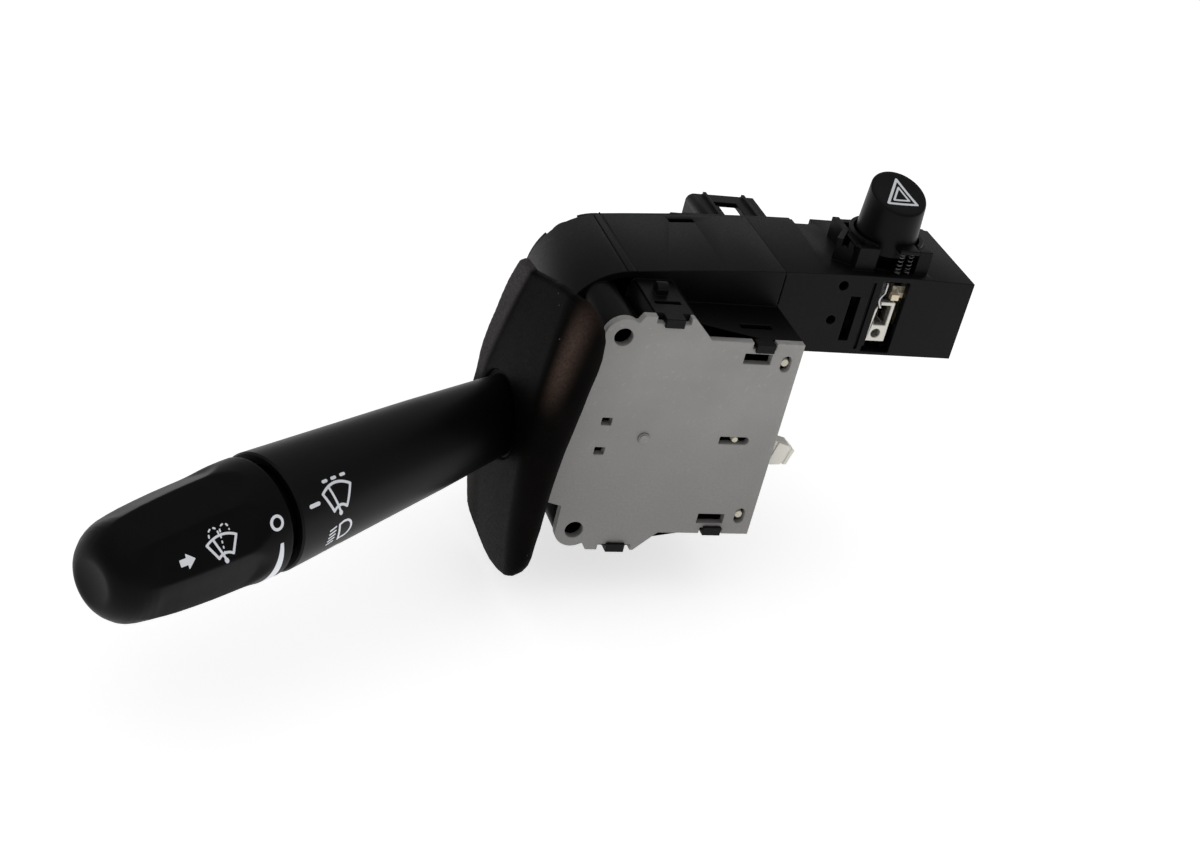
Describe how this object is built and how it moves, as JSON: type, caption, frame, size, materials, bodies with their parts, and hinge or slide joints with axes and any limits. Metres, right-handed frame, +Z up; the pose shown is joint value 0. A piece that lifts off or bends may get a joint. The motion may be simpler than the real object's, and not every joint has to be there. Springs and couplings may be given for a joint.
{
  "type": "indicator stalk switch",
  "caption": "Steering column switch with a long stalk, a turning and pushing wiper knob, a curved shroud, a grey cover plate, a cancelling pawl and an arm that carries a hazard push button.",
  "frame": {"origin": "midway between the two column screw holes, on the front face of the cover plate", "axes": "+X across the dash towards the hazard button (to the right as the driver sees it), +Y away from the driver, +Z up"},
  "size_m": [0.2586, 0.1415, 0.1208],
  "materials": {
    "black_plastic": "fine grain, semi matt",
    "stalk_plastic": "fine grain, satin",
    "shroud_plastic": "fine grain, matt",
    "grey_plastic": "moulded, satin, light scuffs",
    "ivory_plastic": "moulded, satin",
    "white_plastic": "moulded, satin",
    "button_black": "satin with printed symbol",
    "steel": "bright",
    "brass_strip": "brass strip",
    "board": "laminate"
  },
  "bodies": {
    "housing": {"switch_housing": "black_plastic", "arm_housing": "black_plastic", "rear_cover": "black_plastic", "cover_screws": "steel", "cover_plate": "grey_plastic", "pivot_pin": "steel", "rear_pivot_pin": "steel", "contact_board": "board", "contact_tracks": "brass_strip", "detent_track": "ivory_plastic", "cancel_guide": "ivory_plastic", "connector_socket": "black_plastic", "connector_pins": "brass_strip", "hazard_contacts": "brass_strip", "latch_wire": "steel", "hazard_springs": "steel", "pawl_spring": "steel"},
    "lever": {"lever_carrier": "ivory_plastic", "rock_pin": "steel", "contact_bridge": "brass_strip", "detent_spring": "steel"},
    "detent": {"detent_plunger": "steel"},
    "stalk": {"stalk_core": "black_plastic", "stalk_tube": "stalk_plastic", "stalk_shroud": "shroud_plastic", "wiper_contact_plate": "board"},
    "spindle": {"knob_spindle": "black_plastic", "wiper_contacts": "brass_strip", "washer_spring": "steel"},
    "knob": {"wiper_knob": "stalk_plastic"},
    "hazard": {"hazard_button": "button_black", "hazard_slider": "white_plastic"},
    "pawl_carriage": {"pawl_slider": "ivory_plastic"},
    "pawl": {"cancel_pawl": "white_plastic"}
  },
  "joints": [
    {"name": "indicator_turn", "type": "hinge", "parent": "housing", "child": "lever", "pos_m": [0.0134, 0.0208, 0], "axis": [0, 1, 0], "range_deg": [-12, 12]},
    {"name": "detent_slide", "type": "slide", "parent": "lever", "child": "detent", "axis": [1, 0, 0], "range_m": [-0.0015, 0], "stiffness_N_per_m": 500, "springref_m": 0.002, "deforming": ["detent_spring"]},
    {"name": "beam_rock", "type": "hinge", "parent": "lever", "child": "stalk", "pos_m": [0.0134, 0.0368, 0], "axis": [0, 0, 1], "range_deg": [-5, 6], "stiffness_Nm_per_rad": 0.8},
    {"name": "wiper_turn", "type": "hinge", "parent": "stalk", "child": "spindle", "pos_m": [0.0134, 0.0368, 0], "axis": [-0.8421, -0.5385, -0.0297], "range_deg": [0, 60]},
    {"name": "washer_push", "type": "slide", "parent": "spindle", "child": "knob", "axis": [0.8421, 0.5385, 0.0297], "range_m": [0, 0.0024], "stiffness_N_per_m": 800, "springref_m": -0.001, "deforming": ["washer_spring"]},
    {"name": "hazard_push", "type": "slide", "parent": "housing", "child": "hazard", "axis": [0, 0, -1], "range_m": [0, 0.003], "stiffness_N_per_m": 700, "springref_m": -0.001, "deforming": ["hazard_springs"]},
    {"name": "cancel_slide", "type": "slide", "parent": "housing", "child": "pawl_carriage", "axis": [1, 0, 0], "range_m": [-0.003, 0], "stiffness_N_per_m": 300, "springref_m": 0.002, "deforming": ["pawl_spring"]},
    {"name": "cancel_swing", "type": "hinge", "parent": "pawl_carriage", "child": "pawl", "pos_m": [0.046, 0.007, -0.004], "axis": [0, 1, 0], "range_deg": [-18, 18], "stiffness_Nm_per_rad": 0.01}
  ]
}
